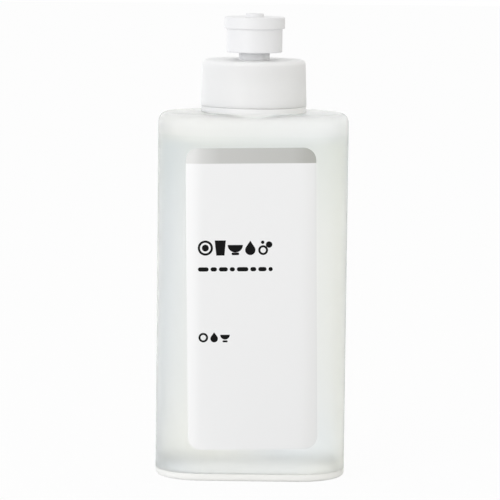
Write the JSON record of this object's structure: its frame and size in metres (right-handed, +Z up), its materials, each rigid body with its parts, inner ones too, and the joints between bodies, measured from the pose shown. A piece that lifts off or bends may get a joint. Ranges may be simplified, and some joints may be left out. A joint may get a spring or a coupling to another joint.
{
  "type": "dish soap bottle",
  "caption": "Frosted see-through dish soap bottle of rounded-rectangle plan, with liquid inside, a front label, a screw cap and a push-pull spout.",
  "frame": {"origin": "middle of the base, on the surface that the bottle stands on", "axes": "+Z up along the neck's axis, +X to the right as the label is read, -Y out of the front label"},
  "size_m": [0.0898, 0.0522, 0.2193],
  "materials": {
    "frosted_shell": "frosted, see-through, uncoloured polyethylene",
    "liquid": "clear liquid",
    "label_film": "glossy film, white with a grey band along its top",
    "liner_foam": "closed-cell foam",
    "cap_plastic": "satin, see-through, uncoloured polypropylene",
    "spout_plastic": "satin opaque white"
  },
  "bodies": {
    "bottle": {"bottle_shell": "frosted_shell", "detergent": "liquid", "front_label": "label_film"},
    "washer": {"cap_liner": "liner_foam"},
    "cap": {"screw_cap": "cap_plastic"},
    "spout": {"push_pull_spout": "spout_plastic"}
  },
  "joints": [
    {"name": "cap_lift", "type": "slide", "parent": "bottle", "child": "washer", "axis": [0, 0, 1], "range_m": [0, 0.01]},
    {"name": "cap_turn", "type": "hinge", "parent": "washer", "child": "cap", "pos_m": [0, 0, 0.19], "axis": [0, 0, 1], "range_deg": [0, 720]},
    {"name": "spout_pull", "type": "slide", "parent": "cap", "child": "spout", "axis": [0, 0, 1], "range_m": [0, 0.005]}
  ],
  "couplings": [
    {"joint": "cap_lift", "follows": "cap_turn", "m_per_rad": 0.00079577}
  ]
}
